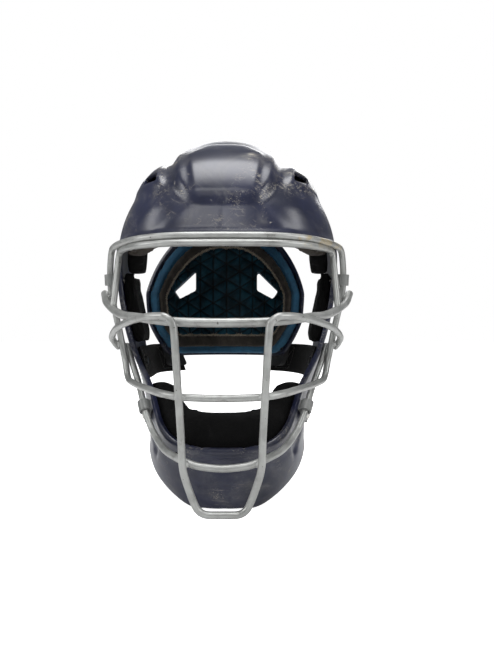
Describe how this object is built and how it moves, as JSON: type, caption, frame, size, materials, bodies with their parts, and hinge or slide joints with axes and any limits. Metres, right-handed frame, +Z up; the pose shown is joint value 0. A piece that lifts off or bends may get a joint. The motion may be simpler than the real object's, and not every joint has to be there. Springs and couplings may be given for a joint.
{
  "type": "baseball catcher helmet",
  "caption": "Catcher's helmet: moulded shell with raised crown panel, bent wire face cage, padding and a sprung rear plate on elastic straps.",
  "frame": {"origin": "middle of the wearer's head, between the ears at eye level", "axes": "+Z up through the crown, -Y out through the face, +X to the right as seen from the front"},
  "size_m": [0.2368, 0.3006, 0.3367],
  "materials": {
    "shell": "glossy, scuffed",
    "plate": "glossy",
    "wire": "silver-gray coating, semi-gloss",
    "clip": "silver-gray coating",
    "screw": "zinc plated",
    "rivet": "black",
    "foam": "matte foam",
    "rear_foam": "matte foam",
    "pad": "woven cover over foam",
    "border": "felt-like cloth",
    "liner": "matte, ribbed",
    "anchor": "satin",
    "strap": "woven elastic"
  },
  "bodies": {
    "helmet": {"front_shell": "shell", "crown_foam": "foam", "crown_pad": "pad", "forehead_pad": "pad", "temple_pad_left": "pad", "temple_pad_right": "pad", "side_pad_left": "pad", "side_pad_right": "pad", "chin_pad": "pad", "brow_wire": "wire", "mid_bar": "wire", "brow_bar": "wire", "eye_bar": "wire", "centre_loop": "wire", "jaw_wire_left": "wire", "jaw_wire_right": "wire", "lower_bar": "wire", "temple_clip_left": "clip", "temple_clip_right": "clip", "jaw_clip_left": "clip", "jaw_clip_right": "clip", "clip_screws": "screw", "clip_nuts": "screw", "wing_rivets": "rivet", "crown_rivets": "rivet", "side_strap_left": "strap", "side_strap_right": "strap", "crown_strap": "strap"},
    "back_plate": {"rear_shell": "plate", "rear_foam": "rear_foam", "rear_border": "border", "rear_liner": "liner", "strap_anchor_left": "anchor", "strap_anchor_right": "anchor", "anchor_rivets": "rivet", "plate_rivets": "rivet"}
  },
  "joints": [
    {"name": "back_plate_swing", "type": "hinge", "parent": "helmet", "child": "back_plate", "pos_m": [-0.006, 0.118, 0.07], "axis": [1, 0, 0], "range_deg": [0, 22], "stiffness_Nm_per_rad": 3, "deforming": ["crown_strap", "side_strap_left", "side_strap_right"]}
  ]
}
